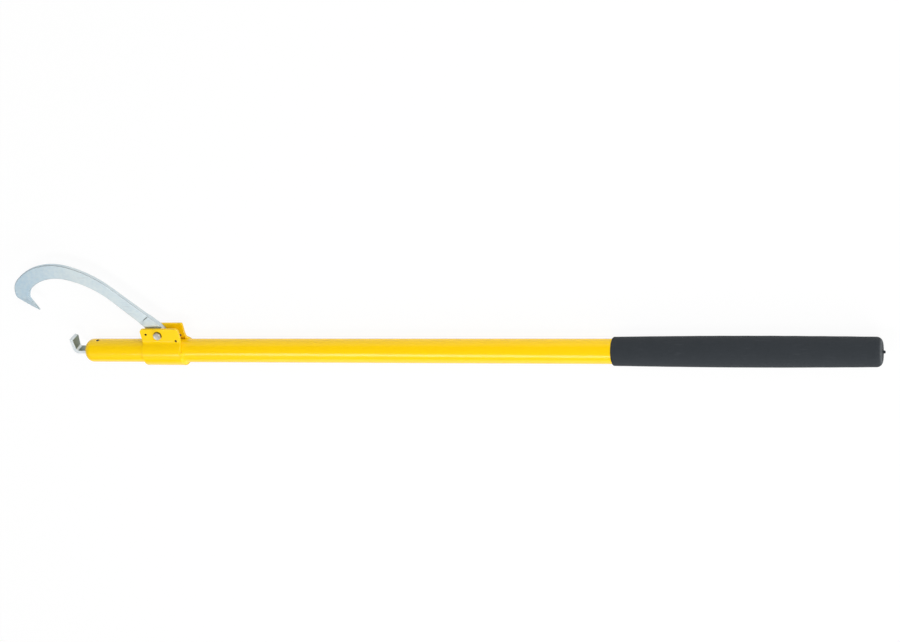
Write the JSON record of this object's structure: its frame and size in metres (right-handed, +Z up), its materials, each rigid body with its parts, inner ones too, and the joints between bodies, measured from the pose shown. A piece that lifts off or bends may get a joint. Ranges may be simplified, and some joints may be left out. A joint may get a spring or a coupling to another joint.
{
  "type": "cant hook",
  "caption": "Cant hook for rolling logs: tubular steel lever with a foam grip, a fixed bent toe at the nose and a flat hook that swings freely on a bolt between the bracket's ears.",
  "frame": {"origin": "middle of the whole object's outline, on the surface that it lies on", "axes": "+X along the handle from the toe to the grip, +Y the side that the hook opens to, +Z up along the pivot bolt to its head"},
  "size_m": [1.1636, 0.1562, 0.0401],
  "materials": {
    "yellow_paint": "satin powder coat",
    "zinc_steel": "bright zinc plating",
    "bolt_steel": "zinc plating",
    "dark_steel": "phosphated spring steel",
    "nylon": "natural nylon",
    "foam_rubber": "matt foam rubber"
  },
  "bodies": {
    "lever": {"handle_tube": "yellow_paint", "nose_plug": "yellow_paint", "toe_claw": "zinc_steel", "toe_pin": "dark_steel", "hook_bracket": "yellow_paint", "pivot_bush": "bolt_steel", "hook_spacers": "bolt_steel", "pivot_bolt": "bolt_steel", "nut_washer": "bolt_steel", "pivot_nut": "bolt_steel", "nut_insert": "nylon", "grip": "foam_rubber"},
    "hook": {"swing_hook": "zinc_steel"}
  },
  "joints": [
    {"name": "hook_swing", "type": "hinge", "parent": "lever", "child": "hook", "pos_m": [-0.37741, -0.02855, 0.02005], "axis": [0, 0, 1], "range_deg": [-133, 38]}
  ]
}
